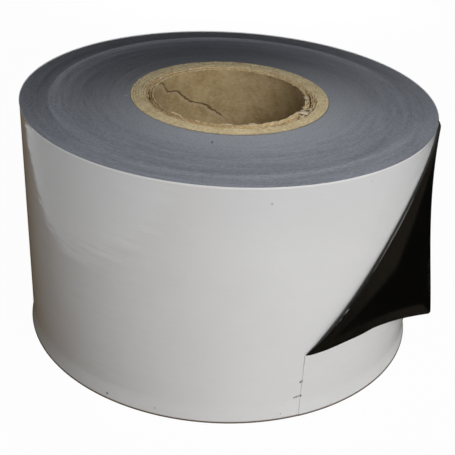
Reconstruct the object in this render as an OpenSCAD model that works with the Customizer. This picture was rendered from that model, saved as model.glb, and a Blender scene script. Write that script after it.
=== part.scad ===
// Roll of protective film, standing on end.
// One long web of film, white outside and black underneath, is wound on a cardboard tube.
// The web ends in a straight cut at the front, and its upper corner is peeled back.
// The origin is the centre of the lower end, and Z runs up the tube.
// The cut edge lies at the azimuth cut_azimuth, and the turns run anticlockwise from it.

/* [Roll] */
// Width of the film, which is the height of the roll as it stands
film_width = 125; // [110:1:200]
// Thickness of the film
film_thickness = 0.13; // [0.08:0.01:0.2]
// Diameter of the roll at its upper end
roll_diameter = 206.6; // [170:0.2:300]
// How much smaller the diameter is at the lower end
roll_taper = 2.6; // [0:0.1:5]

/* [Cardboard tube] */
// Bore of the tube
tube_bore = 76; // [50:0.5:90]
// Wall of the tube
tube_wall = 11.3; // [6:0.1:14]
// Radial gap between the tube and the first turn
winding_gap = 0.05; // [0.02:0.01:0.2]
// Thickness of one paper ply
ply_thickness = 1.3; // [0.8:0.1:2]
// Depth of the line between two plies at the tube's ends
ply_line_depth = 0.25; // [0.1:0.05:0.5]
// Depth of the gaps where plies have parted
parted_depth = 1.4; // [0.5:0.1:3]
// Width of the gaps where plies have parted
parted_width = 0.5; // [0.3:0.1:0.7]
// First parted ply line, counted from the bore
parted_line = 2; // [1:1:3]
// Rise of the innermost ply's spiral seam in one turn round the bore
seam_lead = 152; // [100:1:220]
// Azimuth at which that seam meets the upper end
seam_azimuth = 163; // [0:1:360]
// Width of the open seam
seam_width = 0.8; // [0.4:0.1:1.5]
// Depth of the open seam
seam_depth = 0.6; // [0.3:0.1:1.2]
// How far the torn edge of the seam wanders up and down
seam_wander = 0.9; // [0:0.1:2]

/* [Ends of the roll] */
// Distance between the lines that proud and sunken turns draw on each end
turn_line_pitch = 2.2; // [1.5:0.1:4]
// Greatest depth of those lines
turn_line_depth = 0.3; // [0.1:0.05:0.6]
// Share of the pitch that a line takes up
turn_line_share = 0.4; // [0.2:0.05:0.7]
// Width of the outer band of turns, which were wound with a slight side shift
outer_band = 13; // [8:0.5:20]
// How deep the soft valley inside that band is
valley_depth = 0.7; // [0.3:0.1:1.5]
// Width of the soft valley
valley_width = 5; // [3:0.5:8]

/* [Peeled corner] */
// Azimuth of the cut edge
cut_azimuth = -66.4; // [-180:0.1:180]
// Height at which the peeled corner starts on the cut edge
peel_height = 35.7; // [20:0.1:45]
// Length of the upper edge that has come loose
peel_run = 100; // [80:1:120]
// How far the peel line bows out from the straight line between its ends
peel_bow = 8; // [0:0.5:9]
// How much of that bow moves towards the upper end
peel_skew = 1.9; // [0:0.1:1.9]
// Bend radius at the cut edge
bend_radius_start = 1.4; // [1:0.1:3]
// Bend radius half way
bend_radius_middle = 1.2; // [1:0.1:3]
// Bend radius at the upper edge
bend_radius_end = 0.8; // [0.6:0.1:3]
// Bend angle of the fold at the cut edge and half way
bend_angle = 180; // [160:1:180]
// Bend angle at the upper edge
bend_angle_end = 175; // [160:1:180]
// Degrees that the corner curls away from the roll, over a run as long as the peel line:
// at the cut edge
curl_start = -190; // [-200:5:100]
// Degrees of the same curl half way
curl_middle = 96; // [60:1:110]
// Degrees of the same curl at the upper edge
curl_end = 30; // [-30:1:80]

/* [Hidden] */
$fn = 180;

white_film = [0.84, 0.84, 0.83];
kraft = [0.66, 0.54, 0.38];

roll_r = roll_diameter / 2;
lower_r = roll_r - roll_taper / 2;
tube_inner_r = tube_bore / 2;
tube_outer_r = tube_inner_r + tube_wall;
first_turn_r = tube_outer_r + winding_gap;
reach = roll_diameter;
spare = 1;

// Ends of the tube: plies parted by fine lines, two of them open
ply_count = floor(tube_wall / ply_thickness);
function ply_r(i) = tube_inner_r + i * ply_thickness;
function is_parted(i) = i == parted_line || i == parted_line + 1;
function ply_depth(i) = is_parted(i) ? parted_depth : ply_line_depth;
function ply_half(i) = is_parted(i) ? parted_width / 2 : ply_line_depth / 2;

// Points of the tube's end from the bore outwards, as radius and depth below the end
ply_points = [
    for (i = [1 : ply_count - 1])
        for (p = [[-1, 0], [0, 1], [1, 0]])
            [ply_r(i) + p[0] * ply_half(i), p[1] * ply_depth(i)]
];

// Seam: three points of its groove at the share x of its way from above the tube to below it
seam_steps = 72;
seam_over = 3;
seam_drop = film_width + 2 * seam_over;
function seam_point(x, r, side) =
    let (z = film_width + seam_over - seam_drop * x)
    let (azimuth = seam_azimuth + 360 * (z - film_width) / seam_lead)
    let (wander = seam_wander * (sin(12 * azimuth) + 0.6 * sin(29 * azimuth)))
    [r * cos(azimuth), r * sin(azimuth), z + wander + side * seam_width / 2];

// Ends of the roll: the depth of each turn line changes from line to line by a fixed angle
line_zone = roll_r - outer_band - valley_width / 2 - first_turn_r;
line_count = floor(line_zone / turn_line_pitch);
line_turn = 137.5;
function line_r(i) = first_turn_r + i * turn_line_pitch;
function line_depth(i) = turn_line_depth * (0.65 + 0.35 * sin(i * line_turn));
valley_r = roll_r - outer_band;

// Points of the roll's end from the first turn outwards, as radius and depth below the end
turn_points = [
    for (i = [1 : line_count - 1])
        for (p = [[-0.5, 0], [0, 1], [0.5, 0]])
            [line_r(i) + p[0] * turn_line_pitch * turn_line_share, p[1] * line_depth(i)]
];
valley_points = [
    for (k = [-1 : 0.25 : 1])
        [valley_r + k * valley_width / 2, valley_depth * (1 + cos(180 * k)) / 2]
];

// Peel line: laid flat, it runs from the cut edge up to the upper edge of the film
peel_rise = film_width - peel_height;
peel_length = norm([peel_run, peel_rise]);
peel_angle = atan2(peel_rise, peel_run);
corner_at = peel_rise * sin(peel_angle) / peel_length;

// A value that goes through three others at the start, the middle and the end of the peel line
function through(x, start, middle, end) =
    start * (1 - x) * (1 - 2 * x) + 4 * middle * x * (1 - x) + end * x * (2 * x - 1);
function bow(x) = 4 * peel_bow * x * (1 - x) * (1 + peel_skew * (x - 0.5));
function bend_radius(x) = through(x, bend_radius_start, bend_radius_middle, bend_radius_end);
function bend_turn(x) = through(x, bend_angle, bend_angle, bend_angle_end);
function curl(x) = through(x, curl_start, curl_middle, curl_end);

// Place on the film laid flat, as distance from the cut edge and height,
// at the share x of the peel line and the distance b across it
function flat_place(x, b) = [
    x * peel_length * cos(peel_angle) - b * sin(peel_angle),
    peel_height + x * peel_length * sin(peel_angle) + b * cos(peel_angle)
];
// Distance from the peel line to the film's edge, across the peel line
function free_width(x) =
    (x < corner_at
        ? x * peel_length / tan(peel_angle)
        : (1 - x) * peel_length * tan(peel_angle)) - bow(x);

// The roll's radius at a height, and a point at a height above that surface.
// Azimuths are counted from the cut edge here, and the whole roll is turned once at the end.
function side_r(z) = lower_r + (roll_r - lower_r) * z / film_width;
function wrap(place, above) =
    let (r = side_r(place[1]) + above, turn = place[0] / r * 180 / PI)
    [r * cos(turn), r * sin(turn), place[1]];

// Film at the distance w past the peel line: it bends over, and then runs back with a slight curl.
// What follows gives the angle bent, the length run past the bend, and half the angle it has curled.
function fold_bent(x, w) = min(w / bend_radius(x) * 180 / PI, bend_turn(x));
function fold_run(x, w) = max(0, w - bend_turn(x) * PI / 180 * bend_radius(x));
function half_curl(x, w) = curl(x) * fold_run(x, w) / peel_length / 2;
function run_chord(x, w) =
    let (half = half_curl(x, w))
    abs(half) < 0.001 ? fold_run(x, w) : fold_run(x, w) * sin(half) / (half * PI / 180);

// The white face, and the black face at the distance back behind it
function fold_point(x, w, back) =
    let (r = bend_radius(x), bent = fold_bent(x, w), half = half_curl(x, w), chord = run_chord(x, w))
    let (heading = bent - 2 * half)
    let (above = r * (1 - cos(bent)) + chord * sin(bent - half) - back * cos(heading))
    let (across = bow(x) + r * sin(bent) + chord * cos(bent - half) + back * sin(heading))
    wrap(flat_place(x, across), above);

// Rows along the peel line and columns across it
end_trim = 0.012;
bend_share = 0.7;
row_count = 32;
corner_row = round(row_count / 2);
bend_columns = 8;
run_columns = 6;
column_count = bend_columns + run_columns;
root_depth = 0.4;
function row_x(i) =
    i < corner_row
        ? end_trim + (corner_at - end_trim) * i / corner_row
        : corner_at + (1 - end_trim - corner_at) * (i - corner_row) / (row_count - corner_row);
function bend_length(x) = min(bend_turn(x) * PI / 180 * bend_radius(x), free_width(x) * bend_share);
function column_w(x, j) =
    j <= bend_columns
        ? bend_length(x) * j / bend_columns
        : bend_length(x) + (free_width(x) - bend_length(x)) * (j - bend_columns) / run_columns;

// The first column is sunk into the turns, so that the corner grows out of the roll
function sheet_point(i, j, back) =
    let (x = row_x(i))
    j == 0
        ? wrap(flat_place(x, bow(x)), -root_depth - back)
        : fold_point(x, column_w(x, j), back);

module core() {
    end_points = concat([[tube_inner_r, 0]], ply_points, [[tube_outer_r, 0]]);
    last = len(end_points) - 1;
    upper = [for (i = [last : -1 : 0]) [end_points[i][0], film_width - end_points[i][1]]];
    color(kraft)
        difference() {
            rotate_extrude()
                polygon(concat(end_points, upper));
            open_seam();
        }
}

// The gap that the innermost ply's spiral seam has opened in the wall of the bore
module open_seam() {
    points = [
        for (i = [0 : seam_steps])
            for (p = [[-spare, 1], [-spare, -1], [seam_depth, 0]])
                seam_point(i / seam_steps, tube_inner_r + p[0], p[1])
    ];
    sides = [
        for (i = [0 : seam_steps - 1])
            for (k = [0 : 2])
                let (a = 3 * i + k, b = 3 * i + (k + 1) % 3)
                for (t = [[a, b, a + 3], [b, b + 3, a + 3]])
                    t
    ];
    last = 3 * seam_steps;
    polyhedron(points, concat([[2, 1, 0], [last, last + 1, last + 2]], sides));
}

// The turns as one ring, with the lines that they draw on both ends
module ended_ring() {
    edge = [[first_turn_r, 0]];
    rim = [[reach, 0]];
    lower = concat(edge, turn_points, valley_points, rim);
    last = len(lower) - 1;
    upper = [for (i = [last : -1 : 0]) [lower[i][0], film_width - lower[i][1]]];
    rotate_extrude()
        polygon(concat(lower, upper));
}

// One half of space, on the anticlockwise or the clockwise side of the cut edge
module side_of_cut(anticlockwise) {
    translate([-reach, anticlockwise ? 0 : -2 * reach, -spare])
        cube([2 * reach, 2 * reach, film_width + 2 * spare]);
}

// The outside falls by one thickness in a turn: two half rounds with shifted centres
module wound_outside() {
    shift = film_thickness / 2;
    intersection() {
        cylinder(h = film_width, r1 = lower_r, r2 = roll_r);
        side_of_cut(true);
    }
    intersection() {
        translate([-shift, 0, 0])
            cylinder(h = film_width, r1 = lower_r - shift, r2 = roll_r - shift);
        side_of_cut(false);
    }
}

// Where the corner is peeled off, the turn beneath shows, one thickness down
module peeled_window() {
    steps = 16;
    margin = 0.5;
    middle = peel_run / 2;
    middle_turn = middle / roll_r * 180 / PI;
    outline = [
        for (i = [0 : steps])
            let (place = flat_place(i / steps, bow(i / steps) + margin))
            [roll_r * sin((place[0] - middle) / roll_r * 180 / PI), place[1]]
    ];
    left = -reach;
    right = outline[steps][0] + spare;
    top = film_width + 2 * spare;
    difference() {
        intersection() {
            rotate([0, 0, middle_turn])
                rotate([90, 0, 90])
                    linear_extrude(height = reach)
                        polygon(concat([[left, top], [left, outline[0][1]]], outline, [[right, top]]));
            side_of_cut(true);
        }
        cylinder(h = film_width, r1 = lower_r - film_thickness, r2 = roll_r - film_thickness);
    }
}

// The peeled corner, one film thick, folded back over the roll with its black side out
module peeled_corner() {
    rows = row_count + 1;
    columns = column_count + 1;
    white = [for (i = [0 : row_count]) for (j = [0 : column_count]) sheet_point(i, j, 0)];
    black = [for (i = [0 : row_count]) for (j = [0 : column_count]) sheet_point(i, j, film_thickness)];
    face = rows * columns;
    function at(i, j) = i * columns + j;
    quads = [
        for (i = [0 : row_count - 1])
            for (j = [0 : column_count - 1])
                [at(i, j), at(i, j + 1), at(i + 1, j + 1), at(i + 1, j)]
    ];
    rim = concat(
        [for (j = [0 : column_count - 1]) at(0, j)],
        [for (i = [0 : row_count - 1]) at(i, column_count)],
        [for (j = [column_count : -1 : 1]) at(row_count, j)],
        [for (i = [row_count : -1 : 1]) at(i, 0)]
    );
    rim_count = len(rim);
    triangles = concat(
        [for (q = quads) for (t = [[q[0], q[1], q[2]], [q[0], q[2], q[3]]]) t],
        [for (q = quads) for (t = [[q[2], q[1], q[0]], [q[3], q[2], q[0]]]) [for (v = t) v + face]],
        [
            for (k = [0 : rim_count - 1])
                let (a = rim[k], b = rim[(k + 1) % rim_count])
                for (t = [[b, a, a + face], [b, a + face, b + face]])
                    t
        ]
    );
    polyhedron(concat(white, black), triangles);
}

module film_roll() {
    color(white_film)
        rotate([0, 0, cut_azimuth]) {
            difference() {
                intersection() {
                    wound_outside();
                    ended_ring();
                }
                peeled_window();
            }
            peeled_corner();
        }
}

core();
film_roll();
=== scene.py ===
# Roll of black and white protective film, standing on its end on a cardboard tube.
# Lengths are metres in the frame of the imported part: Z runs up the tube from the lower end,
# and the free end of the film is a straight cut at the front right.
import math
import random
import bmesh
import bpy
from mathutils import Matrix, Vector, noise


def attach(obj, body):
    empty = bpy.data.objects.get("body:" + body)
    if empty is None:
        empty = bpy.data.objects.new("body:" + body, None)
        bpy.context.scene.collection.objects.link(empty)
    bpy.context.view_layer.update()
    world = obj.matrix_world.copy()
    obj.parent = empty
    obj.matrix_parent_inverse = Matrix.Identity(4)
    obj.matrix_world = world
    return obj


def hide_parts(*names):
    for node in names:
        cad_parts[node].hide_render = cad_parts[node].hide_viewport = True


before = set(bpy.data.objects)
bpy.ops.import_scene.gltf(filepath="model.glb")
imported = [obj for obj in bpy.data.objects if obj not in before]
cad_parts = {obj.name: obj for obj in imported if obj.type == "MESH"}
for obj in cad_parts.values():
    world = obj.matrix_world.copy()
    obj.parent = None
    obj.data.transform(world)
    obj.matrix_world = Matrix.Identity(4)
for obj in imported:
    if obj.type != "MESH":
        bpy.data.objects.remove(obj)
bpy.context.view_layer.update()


# Cardboard tube: nine plies of kraft board, wound in a spiral and glued into one stiff tube.
# It was sawn off at the width of the film, which left a fuzzy end.
# Its inner plies have parted and torn at the right, and the seam of the innermost has opened.
film_width = 0.125
bore_r = 0.038
tube_r = 0.0493
ply = 0.0013
seam_lead = 0.152
seam_azimuth = math.radians(163)


def soft_step(low, high, value):
    share = min(1, max(0, (value - low) / (high - low)))
    return share * share * (3 - 2 * share)


def hump(middle, half_width, value):
    away = abs(value - middle) / half_width
    return 0 if away >= 1 else (1 + math.cos(math.pi * away)) / 2


def spun_ring(profile, steps, start=0.0):
    """A closed ring, from a closed outline of radius and height that is spun round the tube's axis."""
    ring = bmesh.new()
    corners = [
        ring.verts.new((r * math.cos(start), r * math.sin(start), z)) for r, z in profile
    ]
    outline = [ring.edges.new((a, b)) for a, b in zip(corners, corners[1:] + corners[:1])]
    bmesh.ops.spin(
        ring, geom=corners + outline, cent=(0, 0, 0), axis=(0, 0, 1), angle=2 * math.pi,
        steps=steps, use_merge=True, use_duplicate=False,
    )
    bmesh.ops.remove_doubles(ring, verts=ring.verts, dist=1e-7)
    return ring


def finished(shape, name, materials, smooth=True):
    """Turns a finished bmesh into a piece at the origin that rides on the roll."""
    mesh = bpy.data.meshes.new(name)
    for face in shape.faces:
        face.smooth = smooth
    shape.to_mesh(mesh)
    shape.free()
    for material in materials:
        mesh.materials.append(material)
    piece = bpy.data.objects.new(name, mesh)
    bpy.context.collection.objects.link(piece)
    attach(piece, "root")
    return piece


def new_material(name, roughness, specular):
    material = bpy.data.materials.new(name)
    material.use_nodes = True
    skin = material.node_tree.nodes["Principled BSDF"]
    skin.inputs["Roughness"].default_value = roughness
    skin.inputs["Specular IOR Level"].default_value = specular
    return material


def wire(material, kind, feeds, **settings):
    """Adds a shader node and feeds its sockets from values or from other nodes."""
    made = material.node_tree.nodes.new(kind)
    for name, value in settings.items():
        setattr(made, name, value)
    for socket, value in feeds.items():
        if isinstance(value, bpy.types.NodeSocket):
            material.node_tree.links.new(value, made.inputs[socket])
        else:
            made.inputs[socket].default_value = value
    return made


def sum_of(material, operation, *values, clamp=False):
    feeds = dict(enumerate(values))
    return wire(material, "ShaderNodeMath", feeds, operation=operation, use_clamp=clamp).outputs[0]


def between(material, value, low, high, to_low=0.0, to_high=1.0):
    feeds = {"Value": value, "From Min": low, "From Max": high, "To Min": to_low, "To Max": to_high}
    return wire(material, "ShaderNodeMapRange", feeds, interpolation_type="SMOOTHSTEP").outputs[0]


def blended(material, share, one, other):
    feeds = {0: share, 6: one, 7: other}
    return wire(material, "ShaderNodeMix", feeds, data_type="RGBA").outputs[2]


def grain(material, place, scale, detail=3.0, roughness=0.5):
    feeds = {"Vector": place, "Scale": scale, "Detail": detail, "Roughness": roughness}
    return wire(material, "ShaderNodeTexNoise", feeds).outputs["Fac"]


def place_of(material):
    """The place on the piece, its distance from the tube's axis, its azimuth and its height."""
    place = wire(material, "ShaderNodeTexCoord", {}).outputs["Object"]
    parts = wire(material, "ShaderNodeSeparateXYZ", {0: place})
    flat = wire(material, "ShaderNodeCombineXYZ", {0: parts.outputs[0], 1: parts.outputs[1]})
    radius = wire(material, "ShaderNodeVectorMath", {0: flat.outputs[0]}, operation="LENGTH")
    azimuth = sum_of(material, "ARCTAN2", parts.outputs[1], parts.outputs[0])
    return place, radius.outputs["Value"], azimuth, parts.outputs[2]


def ring_place(material, place, radius, around, across):
    """A place for grain that runs round the tube: slow round it, and quick across the radius."""
    flat = stretched(material, place, (1, 1, 0))
    unit = wire(material, "ShaderNodeVectorMath", {0: flat}, operation="NORMALIZE").outputs[0]
    lift = wire(material, "ShaderNodeCombineXYZ", {2: sum_of(material, "MULTIPLY", radius, across)})
    feeds = {0: stretched(material, unit, (around, around, 0)), 1: lift.outputs[0]}
    return wire(material, "ShaderNodeVectorMath", feeds, operation="ADD").outputs[0]


def stretched(material, place, factors):
    feeds = {0: place, 1: factors}
    return wire(material, "ShaderNodeVectorMath", feeds, operation="MULTIPLY").outputs[0]


def coat(material, colour, height=None, depth=1.0):
    """Feeds the surface's colour and, where there is one, its relief in metres."""
    skin = material.node_tree.nodes["Principled BSDF"]
    material.node_tree.links.new(colour, skin.inputs["Base Color"])
    if height is not None:
        bump = wire(material, "ShaderNodeBump", {"Height": height, "Distance": depth})
        material.node_tree.links.new(bump.outputs[0], skin.inputs["Normal"])


# The sawn end: each ply shows as a ring of short fibres, browner near the bore
sawn_board = new_material("sawn_board", 0.95, 0.15)
place, radius, azimuth, height = place_of(sawn_board)
around = ring_place(sawn_board, place, radius, 26, 900)
speckle = grain(sawn_board, place, 620, 5, 0.75)
strands = grain(sawn_board, around, 1, 3, 0.65)
patches = grain(sawn_board, place, 120, 4, 0.6)
wobble = sum_of(sawn_board, "MULTIPLY", sum_of(sawn_board, "SUBTRACT", patches, 0.5), 0.0016)
strayed = sum_of(sawn_board, "ADD", radius, wobble)
ply_wave = sum_of(sawn_board, "PINGPONG", sum_of(sawn_board, "DIVIDE", strayed, ply), 0.5)
ply_line = between(sawn_board, ply_wave, 0.0, 0.14, 1.0, 0.0)
outer_plies = between(sawn_board, strayed, 0.0419, 0.0434)
tan = blended(sawn_board, outer_plies, (0.84, 0.63, 0.34, 1), (0.97, 0.81, 0.49, 1))
from_left = sum_of(sawn_board, "SUBTRACT", azimuth, math.radians(-150))
from_left = sum_of(sawn_board, "WRAP", from_left, math.pi, -math.pi)
from_left = sum_of(sawn_board, "ABSOLUTE", from_left)
from_parting = sum_of(sawn_board, "ABSOLUTE", sum_of(sawn_board, "SUBTRACT", strayed, 0.0399))
brown_ring = between(sawn_board, from_parting, 0.0010, 0.0022, 0.6, 0.0)
at_left = between(sawn_board, from_left, 0.9, 1.5, 1.0, 0.0)
brown_ring = sum_of(sawn_board, "MULTIPLY", brown_ring, at_left)
tan = blended(sawn_board, brown_ring, tan, (0.45, 0.29, 0.125, 1))
pale_fibre, dark_fibre = (0.97, 0.84, 0.56, 1), (0.42, 0.29, 0.14, 1)
tan = blended(sawn_board, between(sawn_board, speckle, 0.50, 0.62, 0, 0.85), tan, pale_fibre)
tan = blended(sawn_board, between(sawn_board, speckle, 0.48, 0.36, 0, 0.6), tan, dark_fibre)
tan = blended(sawn_board, between(sawn_board, strands, 0.50, 0.30, 0, 0.35), tan, dark_fibre)
tan = blended(sawn_board, between(sawn_board, patches, 0.32, 0.6, 0.3, 0), tan, (0.52, 0.35, 0.16, 1))
tan = blended(sawn_board, sum_of(sawn_board, "MULTIPLY", ply_line, 0.3), tan, (0.25, 0.16, 0.075, 1))
# Painted shade: the sawn end turns dark brown wherever it lies more than about a millimetre below the
# cut, in the parted plies, gaps and nicks
painted_gap_shade = between(sawn_board, height, film_width - 0.0023, film_width - 0.0008, 0.6, 0.0)
tan = blended(sawn_board, painted_gap_shade, tan, (0.16, 0.10, 0.04, 1))
fuzz = sum_of(sawn_board, "MULTIPLY", sum_of(sawn_board, "ADD", speckle, strands), 0.0005)
outward_slope = sum_of(sawn_board, "MULTIPLY", radius, -0.42)
coat(sawn_board, tan, sum_of(sawn_board, "ADD", fuzz, outward_slope))

# The bore: smooth kraft paper, with the open seam and its paler torn lip
bore_paper = new_material("bore_paper", 0.8, 0.25)
place, radius, azimuth, height = place_of(bore_paper)
mottle = grain(bore_paper, place, 90, 6, 0.7)
fibres = grain(bore_paper, stretched(bore_paper, place, (1, 1, 2)), 420, 5, 0.75)
mottle = between(bore_paper, mottle, 0.35, 0.65)
tan = blended(bore_paper, mottle, (0.43, 0.31, 0.15, 1), (0.57, 0.435, 0.24, 1))
tan = blended(bore_paper, between(bore_paper, fibres, 0.5, 0.7, 0, 0.45), tan, (0.70, 0.57, 0.36, 1))
tan = blended(bore_paper, between(bore_paper, fibres, 0.5, 0.32, 0, 0.35), tan, (0.31, 0.21, 0.095, 1))
seam_rise = sum_of(bore_paper, "MULTIPLY", azimuth, seam_lead / (2 * math.pi))
off_seam = sum_of(bore_paper, "SUBTRACT", height, seam_rise)
seam_foot = film_width - seam_azimuth * seam_lead / (2 * math.pi)
off_seam = sum_of(bore_paper, "SUBTRACT", off_seam, seam_foot)
waves = sum_of(bore_paper, "SUBTRACT", grain(bore_paper, place, 75, 2, 0.5), 0.5)
off_seam = sum_of(bore_paper, "ADD", off_seam, sum_of(bore_paper, "MULTIPLY", waves, 0.011))
ragged = sum_of(bore_paper, "SUBTRACT", grain(bore_paper, place, 330, 4, 0.7), 0.5)
off_seam = sum_of(bore_paper, "ADD", off_seam, sum_of(bore_paper, "MULTIPLY", ragged, 0.0036))
off_seam = sum_of(bore_paper, "WRAP", off_seam, seam_lead / 2, -seam_lead / 2)
opened = between(bore_paper, azimuth, math.radians(92), math.radians(100), 0.12, 1.0)
from_seam = sum_of(bore_paper, "ABSOLUTE", off_seam)
crack = between(bore_paper, from_seam, 0.0001, 0.0006, 1.0, 0.0)
crack = sum_of(bore_paper, "MULTIPLY", crack, opened)
lip_place = sum_of(bore_paper, "ABSOLUTE", sum_of(bore_paper, "ADD", off_seam, 0.0012))
lip = between(bore_paper, lip_place, 0.0002, 0.0012, 0.55, 0.0)
lip = sum_of(bore_paper, "MULTIPLY", lip, opened)
tan = blended(bore_paper, lip, tan, (0.62, 0.50, 0.32, 1))
crack_tint = sum_of(bore_paper, "MULTIPLY", crack, 0.75)
tan = blended(bore_paper, crack_tint, tan, (0.15, 0.095, 0.04, 1))
relief = sum_of(bore_paper, "MULTIPLY", crack, -0.0005)
relief = sum_of(bore_paper, "ADD", relief, sum_of(bore_paper, "MULTIPLY", fibres, 0.0003))
coat(bore_paper, tan, relief)

tube_columns = 480
torn_r = 0.0436
upper_end = [(bore_r + 0.0002 * i, film_width) for i in range(29)]
upper_end += [(torn_r + (tube_r - torn_r) * (i + 1) / 16, film_width) for i in range(16)]
bore_heights = [0.0, 0.004, 0.012] + [0.02 + 0.0075 * i for i in range(9)]
bore_heights += [0.087 + 0.0009 * i for i in range(42)]
lower_end = [(tube_r - (tube_r - bore_r) * i / 9, 0.0) for i in range(10)]
outline = upper_end + [(tube_r, 0.0625)] + lower_end + [(bore_r, z) for z in bore_heights[1:]]
tube = spun_ring(outline, tube_columns)


def parted_radius(azimuth):
    """Where two inner plies have parted, which drifts through the wall as the spiral plies do."""
    return 0.0404 + 0.0007 * noise.noise(Vector((2 * math.cos(azimuth), 2 * math.sin(azimuth), 3)))


def torn_share(azimuth):
    """How far the inner plies are torn: most at the right, and a little everywhere."""
    ragged = noise.noise(Vector((9 * math.cos(azimuth), 9 * math.sin(azimuth), 8)))
    at_right = hump(math.radians(-25), math.radians(82), azimuth)
    return min(1, max(0.08, 1.3 * at_right + 0.3 * ragged))


saw_depth = 0.00035
ply_line_depth = 0.00025
parting_depth = 0.0022
left_gap_depth = 0.0018
shred_depth = 0.0017
toothed_gap_depth = 0.0017
nick_depth = 0.004


def end_drop(r, azimuth):
    """How far the sawn end lies below the plane of the cut."""
    around = Vector((math.cos(azimuth), math.sin(azimuth), 0))
    fuzz = noise.noise(around * r * 1700) * 0.00016 + noise.noise(around * r * 480) * 0.00012
    number = round((r - bore_r) / ply)
    line = ply_line_depth * hump(bore_r + number * ply, 0.0004, r)
    depth = saw_depth + fuzz + line
    # The two parted plies: one gap all round, and a second beside it at the left
    parting = min(1, max(0.15, 0.8 + noise.noise(around * 5)))
    depth += parting_depth * parting * hump(parted_radius(azimuth), 0.0006, r)
    reach = math.radians(95)
    beside = hump(math.radians(-140), reach, azimuth) + hump(math.radians(220), reach, azimuth)
    depth += left_gap_depth * beside * hump(parted_radius(azimuth) - 0.0012, 0.00045, r)
    # The torn strip at the right, with a toothed gap on its outer side
    torn = torn_share(azimuth)
    strip = soft_step(0.0387, 0.0393, r) * (1 - soft_step(0.0421, 0.0431, r))
    shred = 0.5 + 0.9 * noise.noise(Vector((around.x * 17, around.y * 17, r * 1500)))
    depth += torn * strip * shred_depth * min(1.3, max(0.05, shred))
    gap_r = 0.0427 + 0.0006 * noise.noise(around * 9)
    teeth = soft_step(-0.15, 0.2, noise.noise(around * 36) + 0.4 * noise.noise(around * 90))
    depth += torn * torn * (0.35 + 0.65 * teeth) * toothed_gap_depth * hump(gap_r, 0.0008, r)
    nicks = max(0, noise.noise(Vector((around.x * 21, around.y * 21, 5))) - 0.15)
    depth += nick_depth * nicks * (1 - soft_step(0.038, 0.0388, r)) * (0.3 + torn)
    return max(0, depth)


for corner in tube.verts:
    r = math.hypot(corner.co.x, corner.co.y)
    turn = math.atan2(corner.co.y, corner.co.x)
    if corner.co.z > film_width - 1e-6:
        corner.co.z = film_width - end_drop(r, turn)
    elif corner.co.z < 1e-6:
        corner.co.z = 0.00015 + 0.0001 * noise.noise(corner.co * 900)
    if r < bore_r + 1e-6:
        ragged = noise.noise(Vector((corner.co.x * 700, corner.co.y * 700, corner.co.z * 300)))
        near_end = soft_step(film_width - 0.004, film_width, corner.co.z)
        push = 0.00006 * ragged + 0.0005 * near_end * max(0, ragged)
        corner.co.x *= 1 + push / r
        corner.co.y *= 1 + push / r
for face in tube.faces:
    middle = face.calc_center_median()
    inside = math.hypot(middle.x, middle.y) < bore_r + 0.0006 and middle.z < film_width - 0.0008
    wall = middle.z < 0.1 and abs(face.normal.z) < 0.5
    face.material_index = 1 if inside or wall else 0
bmesh.ops.recalc_face_normals(tube, faces=tube.faces)
cardboard_tube = finished(tube, "cardboard_tube", [sawn_board, bore_paper])
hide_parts("core")


# Torn plies: flakes and fibres of kraft paper that the saw pulled loose at the inner edge.
# They are still part of the tube, most of them at the front right, with one pale chip at the front.
torn_paper = new_material("torn_paper", 0.95, 0.1)
place = place_of(torn_paper)[0]
speckle = grain(torn_paper, place, 700, 4, 0.7)
pale_share = between(torn_paper, speckle, 0.3, 0.7)
tan = blended(torn_paper, pale_share, (0.72, 0.57, 0.33, 1), (0.97, 0.88, 0.67, 1))
coat(torn_paper, tan, sum_of(torn_paper, "MULTIPLY", speckle, 0.0003))
flakes = bmesh.new()
picks = random.Random(4)


def add_flake(azimuth, r, length, width, rise, curl_up, thickness, lean=0.0):
    """A flake of paper along the tube's wall that curls over towards the bore."""
    made = bmesh.ops.create_grid(flakes, x_segments=8, y_segments=4, size=0.5)
    for corner in made["verts"]:
        along, across = corner.co.x, corner.co.y + 0.5
        taper = 1 - (2 * abs(along)) ** 2.5 + 0.25 * noise.noise(Vector((along * 5, azimuth * 40, 2)))
        reach = width * across * max(0.2, taper)
        bend = lean + curl_up * across
        inward = reach * math.sin(bend)
        up = reach * math.cos(bend)
        turn = azimuth + along * length / r
        jut = 0.0002 * noise.noise(Vector((along * 6, across * 3, azimuth * 30)))
        placed = r - inward + jut
        z = film_width - rise + up
        corner.co = (placed * math.cos(turn), placed * math.sin(turn), z)
    faces = list({face for corner in made["verts"] for face in corner.link_faces})
    bmesh.ops.recalc_face_normals(flakes, faces=faces)
    bmesh.ops.solidify(flakes, geom=faces, thickness=thickness)


# The pale chip at the front and one beside it, then strips that lie over the bore's front rim
add_flake(math.radians(-73), 0.0390, 0.0052, 0.0026, 0.0005, 0.1, 0.0004, 1.35)
add_flake(math.radians(-57), 0.0386, 0.0044, 0.0018, 0.0004, 0.5, 0.0002, 1.35)
for i in range(16):
    azimuth = math.radians(picks.gauss(-50, 40))
    length, width = picks.uniform(0.004, 0.011), picks.uniform(0.0005, 0.0012)
    lean, curl_up = picks.uniform(1.15, 1.5), picks.uniform(-0.2, 0.4)
    add_flake(azimuth, picks.uniform(0.0382, 0.0390), length, width, 0.0005, curl_up, 0.00015, lean)
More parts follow.
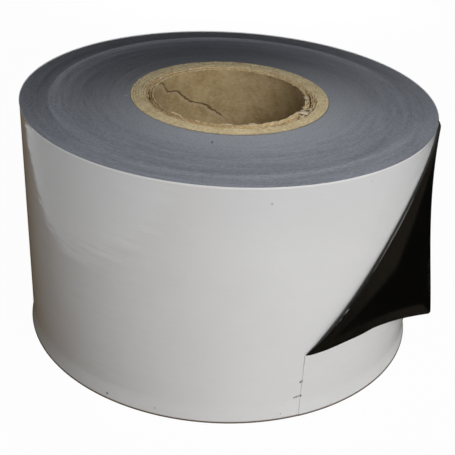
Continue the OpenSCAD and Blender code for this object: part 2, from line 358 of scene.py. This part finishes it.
# Shreds that stand in the torn strip at the right, and small ones along the parted plies
for i in range(20):
    azimuth = math.radians(picks.gauss(-25, 24))
    r = picks.choice((0.0395, 0.0408, 0.0420, 0.0428))
    length, width = picks.uniform(0.002, 0.006), picks.uniform(0.0010, 0.0022)
    rise, curl_up = width + picks.uniform(-0.0001, 0.0003), picks.uniform(-0.5, 1.2)
    add_flake(azimuth, r, length, width, rise, curl_up, 0.00015)
for i in range(18):
    azimuth = math.radians(picks.uniform(60, 250))
    r = picks.choice((0.0383, 0.0403, 0.0407))
    length, width = picks.uniform(0.002, 0.007), picks.uniform(0.0003, 0.0008)
    rise, curl_up = width + picks.uniform(0.0001, 0.0004), picks.uniform(-0.5, 1.0)
    add_flake(azimuth, r, length, width, rise, curl_up, 0.00012)
# Loose fibres, most of them at the right
for i in range(110):
    azimuth = math.radians(picks.gauss(-12, 30) if i % 3 else picks.uniform(-180, 180))
    r = picks.uniform(0.0385, 0.0436) if i % 4 else picks.uniform(0.0379, 0.0384)
    length = picks.uniform(0.0008, 0.0026)
    thick_end = picks.uniform(0.00005, 0.00011)
    fibre = bmesh.ops.create_cone(
        flakes, segments=4, radius1=thick_end, radius2=0.00002, depth=length, cap_ends=True,
    )
    lie = Matrix.Rotation(picks.uniform(0.9, 1.9), 4, "X") @ Matrix.Translation((0, 0, length / 2))
    spot = Matrix.Rotation(azimuth, 4, "Z") @ Matrix.Translation((r, 0, film_width - 0.0006))
    turned = spot @ Matrix.Rotation(picks.uniform(0, 6.28), 4, "Z") @ lie
    bmesh.ops.transform(flakes, matrix=turned, verts=fibre["verts"])
# Nothing stands above the end, in the bore's middle or over the film
for corner in flakes.verts:
    corner.co.z = min(max(corner.co.z, film_width - 0.004), film_width - 0.00002)
    r = math.hypot(corner.co.x, corner.co.y)
    kept = min(max(r, bore_r - 0.0012), torn_r + 0.0004)
    corner.co.x *= kept / r
    corner.co.y *= kept / r
bmesh.ops.recalc_face_normals(flakes, faces=flakes.faces)
torn_plies = finished(flakes, "torn_plies", [torn_paper])
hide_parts("core")


# Film turns: one web of polyethylene film, white outside and black beneath, wound tight on the tube.
# Each end shows the cut edges of some four hundred turns as fine grey rings that lean outwards.
# The free end is a straight cut, and where its corner is peeled off the turn beneath shows.
roll_r = 0.1033
lower_r = 0.1020
film = 0.00013
first_turn_r = 0.04935
cut_azimuth = math.radians(-66.4)
peel_height = 0.0357
peel_run = 0.100
peel_bow = 0.008
peel_skew = 1.9
peel_rise = film_width - peel_height
peel_length = math.hypot(peel_run, peel_rise)
peel_angle = math.atan2(peel_rise, peel_run)


def bow(x):
    return 4 * peel_bow * x * (1 - x) * (1 + peel_skew * (x - 0.5))


def side_r(z):
    return lower_r + (roll_r - lower_r) * z / film_width


def peeled_share(arc, z):
    """One inside the window that the peeled corner has left, and nought outside it."""
    along = arc * math.cos(peel_angle) + (z - peel_height) * math.sin(peel_angle)
    across = (z - peel_height) * math.cos(peel_angle) - arc * math.sin(peel_angle)
    x = along / peel_length
    if not 0 <= x <= 1 or arc > peel_run:
        return 0
    return soft_step(0.0, 0.0006, across - bow(x))


def point_at(degrees, r, z):
    return (r * math.cos(math.radians(degrees)), r * math.sin(math.radians(degrees)), z)


def spot_at(material, place, centre, inner, outer, share):
    """The given share within a small spot, which falls to nought at its outer reach."""
    feeds = {0: place, 1: centre}
    away = wire(material, "ShaderNodeVectorMath", feeds, operation="DISTANCE").outputs["Value"]
    return between(material, away, inner, outer, share, 0.0)


# The white face: glossy film with faint clouds, a brown band along its lower edge, painted shade
# towards the top and a painted highlight along the upper rim
white_face = new_material("white_film", 0.08, 0.5)
place, radius, azimuth, height = place_of(white_face)
cloud = grain(white_face, place, 14, 4, 0.55)
web = grain(white_face, stretched(white_face, place, (1, 1, 6)), 30, 3, 0.6)
clouding = between(white_face, cloud, 0.3, 0.7)
white = blended(white_face, clouding, (0.79, 0.79, 0.79, 1), (0.83, 0.83, 0.83, 1))
# A brown band along the lowest millimetre of the side
dark_foot_band = between(white_face, height, 0.0009, 0.0015, 0.95, 0.0)
white = blended(white_face, dark_foot_band, white, (0.15, 0.105, 0.06, 1))
# Painted highlight: a near-white band just below the upper rim
painted_rim_highlight = between(white_face, height, film_width - 0.0018, film_width - 0.0008, 0.0, 0.8)
# Painted shade: the side is tinted a darker grey towards its upper rim
painted_upper_shade = between(white_face, height, 0.085, 0.122, 0.0, 0.5)
white = blended(white_face, painted_upper_shade, white, (0.72, 0.725, 0.735, 1))
white = blended(white_face, painted_rim_highlight, white, (0.97, 0.97, 0.97, 1))

# Small marks: the dark line under the cut edge, a short scratch across it, and a few specks
cut_arc = sum_of(white_face, "SUBTRACT", azimuth, cut_azimuth)
cut_arc = sum_of(white_face, "MULTIPLY", cut_arc, roll_r)
wander = grain(white_face, stretched(white_face, place, (0, 0, 1)), 60, 3)
wander = sum_of(white_face, "MULTIPLY", sum_of(white_face, "SUBTRACT", wander, 0.5), 0.0014)
from_cut = sum_of(white_face, "ABSOLUTE", sum_of(white_face, "ADD", cut_arc, wander))
line = between(white_face, from_cut, 0.00005, 0.0003, 0.45, 0.0)
darker_up = between(white_face, height, 0.026, 0.034, 0.45, 1.0)
below_peel = between(white_face, height, peel_height - 0.001, peel_height + 0.001, 1.0, 0.0)
broken = between(white_face, grain(white_face, place, 260, 2), 0.35, 0.6, 0.35, 1.0)
for share in (darker_up, below_peel, broken):
    line = sum_of(white_face, "MULTIPLY", line, share)
white = blended(white_face, line, white, (0.05, 0.045, 0.04, 1))
marks = [(-66.75, 0.0206, 0.0009, 0.85), (-66.5, 0.0213, 0.0006, 0.7), (-66.4, 0.0124, 0.0008, 0.8)]
marks += [(-67.0, 0.0123, 0.0007, 0.8), (-67.6, 0.0121, 0.0008, 0.8), (-68.2, 0.0119, 0.0007, 0.8)]
marks += [(-120.1, 0.0035, 0.0009, 0.6), (-105.6, 0.0043, 0.0008, 0.25), (-71.7, 0.0036, 0.0006, 0.4)]
marks += [(-117.3, 0.1006, 0.0006, 0.12), (-78.9, 0.1169, 0.0008, 0.35), (-52.4, 0.1204, 0.0008, 0.12)]
for degrees, z, reach, share in marks:
    centre = point_at(degrees, side_r(z), z)
    spot = spot_at(white_face, place, centre, reach * 0.5, reach * 1.2, share)
    white = blended(white_face, spot, white, (0.06, 0.05, 0.045, 1))
relief = sum_of(white_face, "MULTIPLY", cloud, 0.0006)
relief = sum_of(white_face, "ADD", relief, sum_of(white_face, "MULTIPLY", web, 0.0002))
foot = between(white_face, height, 0.0, 0.011, 0.0012, 0.0)
relief = sum_of(white_face, "ADD", relief, foot)
coat(white_face, white, relief)

# The ends of the roll: the cut edges of the turns, dustier near the tube, with three marks
turn_edges = new_material("turn_edges", 0.6, 0.4)
place, radius, azimuth, height = place_of(turn_edges)
fine = grain(turn_edges, ring_place(turn_edges, place, radius, 34, 2300), 1, 3, 0.7)
broad = grain(turn_edges, ring_place(turn_edges, place, radius, 2.5, 330), 1, 3, 0.6)
speckle = grain(turn_edges, place, 900, 2, 0.6)
banding = between(turn_edges, broad, 0.3, 0.7)
grey = blended(turn_edges, banding, (0.238, 0.254, 0.290, 1), (0.315, 0.334, 0.380, 1))
dusty = between(turn_edges, radius, 0.052, 0.08, 0.85, 0.0)
grey = blended(turn_edges, dusty, grey, (0.39, 0.412, 0.445, 1))
pale_lines = between(turn_edges, fine, 0.45, 0.65, 0, 0.5)
grey = blended(turn_edges, pale_lines, grey, (0.44, 0.46, 0.51, 1))
nicks = [(-96.6, 0.0585, 0.0007, 0.02), (-96.4, 0.0598, 0.0007, 0.02), (-171.6, 0.0515, 0.0012, 0.6)]
for degrees, r, reach, tone in nicks:
    centre = point_at(degrees, r, film_width - 0.0006)
    spot = spot_at(turn_edges, place, centre, reach * 0.4, reach, 0.8)
    grey = blended(turn_edges, spot, grey, (tone, tone, tone, 1))
grey = blended(turn_edges, between(turn_edges, speckle, 0.5, 0.3, 0, 0.3), grey, (0.08, 0.085, 0.10, 1))

# The ends bulge: the turns slope down outwards, less so up to a low ridge that wanders near the rim
lean = sum_of(turn_edges, "MULTIPLY", radius, -0.74)
facing = sum_of(turn_edges, "ADD", azimuth, math.radians(95))
swing = sum_of(turn_edges, "MULTIPLY", sum_of(turn_edges, "COSINE", facing), 0.0007)
sway = sum_of(turn_edges, "COSINE", sum_of(turn_edges, "MULTIPLY", facing, 2))
swing = sum_of(turn_edges, "ADD", swing, sum_of(turn_edges, "MULTIPLY", sway, 0.0013))
ridge_start, ridge_top = 0.066, 0.0901
ridge_width = sum_of(turn_edges, "ADD", swing, ridge_top - ridge_start)
climb = sum_of(turn_edges, "SUBTRACT", radius, ridge_start)
climb = sum_of(turn_edges, "DIVIDE", climb, ridge_width, clamp=True)
climb = sum_of(turn_edges, "MULTIPLY", sum_of(turn_edges, "POWER", climb, 3), 0.0037)
inner = sum_of(turn_edges, "SUBTRACT", 0.062, radius)
inner = sum_of(turn_edges, "DIVIDE", inner, 0.012, clamp=True)
inner = sum_of(turn_edges, "MULTIPLY", sum_of(turn_edges, "POWER", inner, 2), -0.0008)
lean = sum_of(turn_edges, "ADD", lean, sum_of(turn_edges, "ADD", climb, inner))
relief = sum_of(turn_edges, "ADD", lean, sum_of(turn_edges, "MULTIPLY", fine, 0.00015))
relief = sum_of(turn_edges, "ADD", relief, sum_of(turn_edges, "MULTIPLY", broad, 0.0004))
coat(turn_edges, grey, relief)

turn_columns = 384
column_arcs = [0.0, 0.0003, 0.0008, 0.0016]
last_arcs = [-0.0017, -0.0009, -0.0004, -0.00015, -0.00002]
girth = 2 * math.pi * roll_r
plain_count = turn_columns - len(column_arcs) - len(last_arcs)
plain_start, plain_end = column_arcs[-1], girth + last_arcs[0]
for i in range(plain_count):
    column_arcs.append(plain_start + (plain_end - plain_start) * (i + 1) / (plain_count + 1))
column_arcs += [girth + arc for arc in last_arcs]

rim_round = 0.0003
end_rings = 66
end_span = roll_r - rim_round - first_turn_r
end_radii = [first_turn_r + end_span * i / end_rings for i in range(end_rings + 1)]
rim_steps = [rim_round, 0.0007, 0.0012, 0.002, 0.003, 0.0045]
side_heights = [film_width - z for z in rim_steps]
side_heights += [film_width - 0.0065 - 0.0028 * i for i in range(41)]
side_heights += [0.0045, 0.003, 0.002, 0.0012, 0.0007, rim_round]
outline = [(r, film_width) for r in end_radii] + [(roll_r, z) for z in side_heights]
outline += [(r, 0.0) for r in reversed(end_radii[::2])]
turns = spun_ring(outline, turn_columns, cut_azimuth)


def ring_drop(r, azimuth):
    """How far the end of the roll lies below the plane of its highest turns."""
    slow = Vector((math.cos(azimuth) * 0.6, math.sin(azimuth) * 0.6, r * 420))
    lines = 0.00022 * (0.5 + 0.5 * noise.noise(slow))
    ridge_r = 0.0905 - 0.0012 * math.cos(azimuth - math.radians(-50))
    return lines + 0.0005 * (1 - hump(ridge_r, 0.0055, r))


edge_lift = 0.00005
edge_groove = 0.00008
rim_lip = 0.0003
foot_flare, foot_flare_more = 0.0004, 0.0010


def side_offset(arc, z):
    """How far the outer face stands off the cone of the roll."""
    offset = -film * arc / girth - film * peeled_share(arc, z)
    # The cut edge lifts a little, beside a shallow groove
    lifted = 1 - soft_step(0, 0.0016, arc)
    offset += edge_lift * lifted * (1 - soft_step(peel_height - 0.001, peel_height + 0.001, z))
    groove = soft_step(girth - 0.0006, girth - 0.00012, arc)
    offset -= edge_groove * groove * (1 - soft_step(peel_height - 0.001, peel_height + 0.002, z))
    # The upper rim has a fine lip, and the foot spreads, more so at the sides
    offset += rim_lip * math.exp(-(film_width - z) / 0.0008) - rim_lip
    spread = math.cos(cut_azimuth + arc / roll_r + math.radians(5)) ** 4
    offset += (foot_flare + foot_flare_more * spread) * math.exp(-z / 0.003)
    return offset


for corner in turns.verts:
    r = math.hypot(corner.co.x, corner.co.y)
    turn = math.atan2(corner.co.y, corner.co.x)
    column = round((turn - cut_azimuth) / (2 * math.pi) * turn_columns) % turn_columns
    arc = column_arcs[column]
    turn = cut_azimuth + arc / roll_r
    z = corner.co.z
    share = (r - first_turn_r) / (roll_r - first_turn_r)
    outer = side_r(z) + side_offset(arc, z)
    placed_r = first_turn_r + (outer - first_turn_r) * share
    if r > roll_r - rim_round - 1e-6 and r < roll_r - 1e-6:
        placed_r = outer - rim_round
    if z > film_width - 1e-6:
        z -= ring_drop(placed_r, turn)
    elif z < 1e-6:
        z += ring_drop(placed_r, turn)
    corner.co = (placed_r * math.cos(turn), placed_r * math.sin(turn), z)
bmesh.ops.recalc_face_normals(turns, faces=turns.faces)
for face in turns.faces:
    depths = [side_r(corner.co.z) - math.hypot(corner.co.x, corner.co.y) for corner in face.verts]
    face.material_index = 0 if max(depths) < 0.0009 else 1
for edge in turns.edges:
    ends = {face.material_index for face in edge.link_faces}
    edge.smooth = len(ends) == 1
film_turns = finished(turns, "film_turns", [white_face, turn_edges])
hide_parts("film_roll")


# Peeled corner: the upper corner of the film's free end, still part of the outer turn.
# It is bent back along a bowed line over the roll, so that the glossy black face lies outwards,
# and its tip stands clear of the side.
bend_radius = (0.0016, 0.0009, 0.00054)
bend_turn = [math.radians(turn) for turn in (187.8, 187.3, 178.6, 184.0)]
curl = [math.radians(turn) for turn in (-107.9, 78.6, 94.1, 69.7)]
corner_at = peel_rise * math.sin(peel_angle) / peel_length
root_depth = 0.0004
end_trim = 0.004


def through(x, values):
    """A smooth value that goes through the given ones at even steps along the peel line."""
    places = [i / (len(values) - 1) for i in range(len(values))]
    total = 0
    for place, value in zip(places, values):
        for other in places:
            if other != place:
                value *= (x - other) / (place - other)
        total += value
    return total


def fold_radius(x):
    """The fold is creased sharp at the cut edge, and rounder further up."""
    return through(x, bend_radius) * (0.2 + 0.8 * soft_step(0.0, 0.16, x))


def free_width(x):
    if x < corner_at:
        return x * peel_length / math.tan(peel_angle) - bow(x)
    return (1 - x) * peel_length * math.tan(peel_angle) - bow(x)


def wrapped(x, across, above):
    """A place on the film laid flat, wrapped on the roll and lifted off it."""
    arc = x * peel_length * math.cos(peel_angle) - across * math.sin(peel_angle)
    z = peel_height + x * peel_length * math.sin(peel_angle) + across * math.cos(peel_angle)
    z = min(z, film_width - 0.00005)
    r = side_r(z) + above
    turn = cut_azimuth + arc / r
    return Vector((r * math.cos(turn), r * math.sin(turn), z))


def folded(x, w, back):
    """The film at the distance w past the peel line, bent over and running back with a slight curl."""
    r = fold_radius(x)
    turn = through(x, bend_turn)
    bent = min(w / r, turn)
    run = max(0, w - turn * r)
    half = through(x, curl) * run / peel_length / 2
    chord = run if abs(half) < 1e-5 else run * math.sin(half) / half
    heading = bent - 2 * half
    above = r * (1 - math.cos(bent)) + chord * math.sin(bent - half) - back * math.cos(heading)
    if run > 0:
        above = max(above, 0.00025 + back)
    across = bow(x) + r * math.sin(bent) + chord * math.cos(bent - half) + back * math.sin(heading)
    return wrapped(x, across, above)


# The black face: gloss black, with a painted brownish reflection in a band along the fold and the cut,
# crumpled low on the fold
black_face = new_material("black_film", 0.09, 0.5)
place = place_of(black_face)[0]
painted_reflection = wire(black_face, "ShaderNodeAttribute", {}, attribute_name="painted_reflection_band").outputs["Fac"]
crease = grain(black_face, place, 45, 4, 0.6)
# Painted reflection: a brownish tint in the band along the fold and the cut, where the glossy film
# mirrors the table
black = blended(black_face, painted_reflection, (0.0022, 0.0021, 0.0017, 1), (0.0150, 0.0128, 0.0092, 1))
relief = sum_of(black_face, "MULTIPLY", crease, 0.0005)
crinkle = grain(black_face, place, 420, 2)
for centre in ((0.0563, -0.0895, 0.0570), (0.0531, -0.0906, 0.0525)):
    patch = spot_at(black_face, place, centre, 0.0015, 0.0045, 0.0012)
    relief = sum_of(black_face, "ADD", relief, sum_of(black_face, "MULTIPLY", crinkle, patch))
coat(black_face, black, relief)

sheet_rows = 96
bend_columns = 14
run_columns = 40
sheet_columns = bend_columns + run_columns
sheet = bmesh.new()
bmesh.ops.create_grid(sheet, x_segments=sheet_rows, y_segments=sheet_columns, size=1)
band = sheet.verts.layers.float.new("painted_reflection_band")
white_side = list(sheet.verts)
sheet_place = {}
for corner in white_side:
    row = (corner.co.x + 1) / 2
    column = round((corner.co.y + 1) / 2 * sheet_columns)
    x = end_trim + (1 - 2 * end_trim) * row
    width = free_width(x)
    bend_length = min(through(x, bend_turn) * fold_radius(x), 0.7 * width)
    if column <= bend_columns:
        w = bend_length * column / bend_columns
    else:
        w = bend_length + (width - bend_length) * (column - bend_columns) / run_columns
    sheet_place[corner] = (x, w, column)
    # Share of the painted reflection: a band along the fold and, low on the sheet, along the cut edge
    by_fold = 1 - soft_step(0.75, 1.05, w / (0.0035 + 0.3 * width))
    from_cut = (width - w) * math.sin(peel_angle)
    by_cut = 1 - soft_step(0.004, 0.006, from_cut) if x < corner_at else 0
    corner[band] = max(by_fold, by_cut) * (0.3 + 0.7 * soft_step(0.12, 0.4, x))
flat_sheet = list(sheet.verts) + list(sheet.edges) + list(sheet.faces)
made = bmesh.ops.duplicate(sheet, geom=flat_sheet)
copies = {old: new for old, new in made["vert_map"].items() if old in sheet_place}
for corner in white_side:
    x, w, column = sheet_place[corner]
    twin = copies[corner]
    if column == 0:
        corner.co = wrapped(x, bow(x), -root_depth)
        twin.co = wrapped(x, bow(x), -root_depth - film)
    else:
        corner.co = folded(x, w, 0)
        twin.co = folded(x, w, film)
black_faces = [face for face in made["geom"] if isinstance(face, bmesh.types.BMFace)]
for face in black_faces:
    face.material_index = 1
bmesh.ops.reverse_faces(sheet, faces=black_faces)
rims = [edge for edge in sheet.edges if edge.is_boundary]
bmesh.ops.bridge_loops(sheet, edges=rims)
bmesh.ops.recalc_face_normals(sheet, faces=sheet.faces)
for edge in sheet.edges:
    edge.smooth = edge.calc_face_angle(0) < 1.0
peeled_corner = finished(sheet, "peeled_corner", [white_face, black_face])
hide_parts("film_roll")


# Floor and surroundings: a large pale floor under a plain white studio sky, and soft lamps.
# The film mirrors what the photograph shows in it: a brown table near the roll, a white surface
# past its left edge and a dark one at the right.
floor_paint = bpy.data.materials.new("floor_paint")
floor_paint.use_nodes = True
tree = floor_paint.node_tree
tree.nodes.remove(tree.nodes["Principled BSDF"])
place = place_of(floor_paint)[0]
parts = wire(floor_paint, "ShaderNodeSeparateXYZ", {0: place})
across, away = parts.outputs[0], parts.outputs[1]
rays = wire(floor_paint, "ShaderNodeLightPath", {})
glossy = rays.outputs["Is Glossy Ray"]

# Where the white surface, the dark one and the table's shaded part begin
left_edge = sum_of(floor_paint, "ADD", across, sum_of(floor_paint, "MULTIPLY", away, 0.30))
beyond_left = between(floor_paint, left_edge, -0.218, -0.208, 1.0, 0.0)
right_edge = sum_of(floor_paint, "SUBTRACT", across, sum_of(floor_paint, "MULTIPLY", away, 0.5))
beyond_right = between(floor_paint, right_edge, 0.13, 0.17)
shaded = between(floor_paint, across, -0.03, 0.05)
mirrored = blended(floor_paint, beyond_left, (0.38, 0.25, 0.085, 1), (0.80, 0.80, 0.80, 1))
mirrored = blended(floor_paint, shaded, mirrored, (0.06, 0.05, 0.035, 1))
mirrored = blended(floor_paint, beyond_right, mirrored, (0.02, 0.02, 0.02, 1))

# The floor throws more light back at the front right, where the key lamp falls on it
sunlit = sum_of(floor_paint, "SUBTRACT", across, away)
sunlit = between(floor_paint, sunlit, -0.04, 0.16)
bounce = blended(floor_paint, sunlit, (0.16, 0.13, 0.095, 1), (0.90, 0.88, 0.85, 1))
tone = blended(floor_paint, glossy, bounce, mirrored)
dull = wire(floor_paint, "ShaderNodeBsdfDiffuse", {"Color": tone})

# The camera sees it white, with a trace of the roll's shadow
lit = wire(floor_paint, "ShaderNodeBsdfDiffuse", {"Color": (0.9, 0.9, 0.9, 1)})
glow = wire(floor_paint, "ShaderNodeEmission", {"Color": (1, 1, 1, 1), "Strength": 1.0})
shown = wire(floor_paint, "ShaderNodeMixShader", {0: 0.97, 1: lit.outputs[0], 2: glow.outputs[0]})
direct = (rays.outputs["Is Camera Ray"], rays.outputs["Is Transmission Ray"])
seen = sum_of(floor_paint, "MAXIMUM", *direct)
white_left = sum_of(floor_paint, "MULTIPLY", glossy, beyond_left)
white_left = sum_of(floor_paint, "MULTIPLY", white_left, 0.75)
seen = sum_of(floor_paint, "MAXIMUM", seen, white_left)
feeds = {0: seen, 1: dull.outputs[0], 2: shown.outputs[0]}
mixed = wire(floor_paint, "ShaderNodeMixShader", feeds)
tree.links.new(mixed.outputs[0], tree.nodes["Material Output"].inputs["Surface"])
ground = bmesh.new()
bmesh.ops.create_grid(ground, x_segments=2, y_segments=2, size=12)
mesh = bpy.data.meshes.new("floor")
ground.to_mesh(mesh)
ground.free()
mesh.materials.append(floor_paint)
floor = bpy.data.objects.new("floor", mesh)
floor.location.z = -0.0001
bpy.context.collection.objects.link(floor)

world = bpy.data.worlds.new("studio")
world.use_nodes = True
bpy.context.scene.world = world
sky_tree = world.node_tree
sky = sky_tree.nodes["Background"]
sky.inputs["Color"].default_value = (0.095, 0.095, 0.10, 1)
plain = sky_tree.nodes.new("ShaderNodeBackground")
plain.inputs["Color"].default_value = (1, 1, 1, 1)
path = sky_tree.nodes.new("ShaderNodeLightPath")
both = sky_tree.nodes.new("ShaderNodeMixShader")
sky_tree.links.new(path.outputs["Is Camera Ray"], both.inputs[0])
sky_tree.links.new(sky.outputs[0], both.inputs[1])
sky_tree.links.new(plain.outputs[0], both.inputs[2])
sky_tree.links.new(both.outputs[0], sky_tree.nodes["World Output"].inputs["Surface"])


def lamp(name, azimuth, elevation, distance, size, power, colour, mirrored=True):
    """A soft lamp that faces the roll from an azimuth and elevation in degrees."""
    light = bpy.data.lights.new(name, "AREA")
    light.shape = "RECTANGLE"
    light.size, light.size_y = size
    light.energy = power
    light.color = colour
    around, up = math.radians(azimuth), math.radians(elevation)
    way = Vector((math.cos(around) * math.cos(up), math.sin(around) * math.cos(up), math.sin(up)))
    holder = bpy.data.objects.new(name, light)
    aim = way.to_track_quat("Z", "Y").to_matrix().to_4x4()
    holder.matrix_world = Matrix.Translation(Vector((0, 0, 0.07)) + way * distance) @ aim
    holder.visible_glossy = mirrored
    holder.visible_camera = False
    bpy.context.collection.objects.link(holder)


lamp("key_lamp", -64, 36, 1.5, (0.8, 0.56), 11.7, (1.0, 1.0, 1.0))
lamp("left_lamp", -142, 22, 0.6, (0.25, 0.2), 0.16, (0.98, 0.99, 1.0))
lamp("right_lamp", -22, 3, 1.0, (0.5, 0.2), 0.9, (1.0, 0.99, 0.97), mirrored=False)
lamp("back_lamp", 90, -3, 0.7, (0.3, 0.06), 1.5, (1.0, 1.0, 1.0), mirrored=False)

# Camera: it stands in front and above, and looks down at the roll by 29 degrees.
pitch, pan, tilt = 0.505747, 0.00508124, 0.05374372
ahead = Vector((0, math.cos(pitch), -math.sin(pitch)))
level = Vector((1, 0, 0))
forward = ahead * math.cos(pan) + level * math.sin(pan)
level = level * math.cos(pan) - ahead * math.sin(pan)
upright = Vector((0, math.sin(pitch), math.cos(pitch)))
right = level * math.cos(tilt) + upright * math.sin(tilt)
up = upright * math.cos(tilt) - level * math.sin(tilt)
view = bpy.data.cameras.new("camera")
view.sensor_width = 36
view.lens = view.sensor_width * 950.28 / 455
camera = bpy.data.objects.new("camera", view)
turned = Matrix((right, up, -forward)).transposed().to_4x4()
camera.matrix_world = Matrix.Translation((0, -0.44705, 0.29653)) @ turned
bpy.context.collection.objects.link(camera)
bpy.context.scene.camera = camera
bpy.context.scene.view_settings.view_transform = "Standard"
